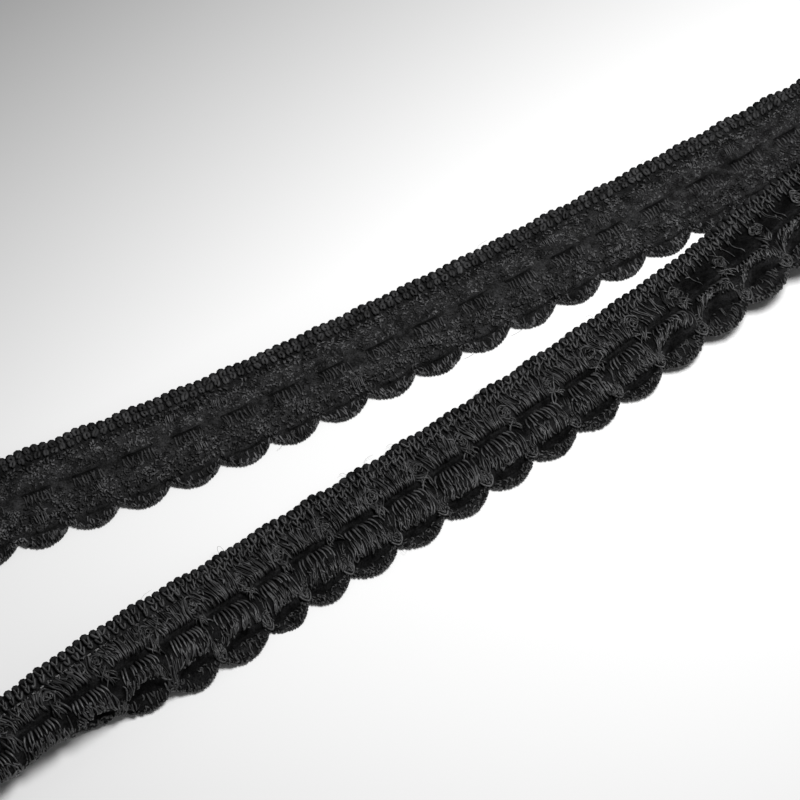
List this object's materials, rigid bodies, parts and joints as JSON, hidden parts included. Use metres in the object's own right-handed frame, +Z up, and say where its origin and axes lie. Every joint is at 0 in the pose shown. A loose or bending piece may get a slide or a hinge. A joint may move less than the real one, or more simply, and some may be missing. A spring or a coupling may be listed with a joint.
{
  "type": "length of picot elastic",
  "caption": "Scallop-edged picot elastic band with shell-stitched face, a cut length doubled back on itself in a soft fold.",
  "frame": {"origin": "centre of the bounding box in plan, on the surface that the band lies on", "axes": "+X along the band towards the fold, +Y towards the lower run's beaded heading, +Z up"},
  "size_m": [0.1986, 0.0474, 0.0119],
  "materials": {
    "black_yarn": "black textured yarn, soft sheen on the stitches"
  },
  "bodies": {
    "root": {"picot_band": "black_yarn"}
  },
  "joints": []
}
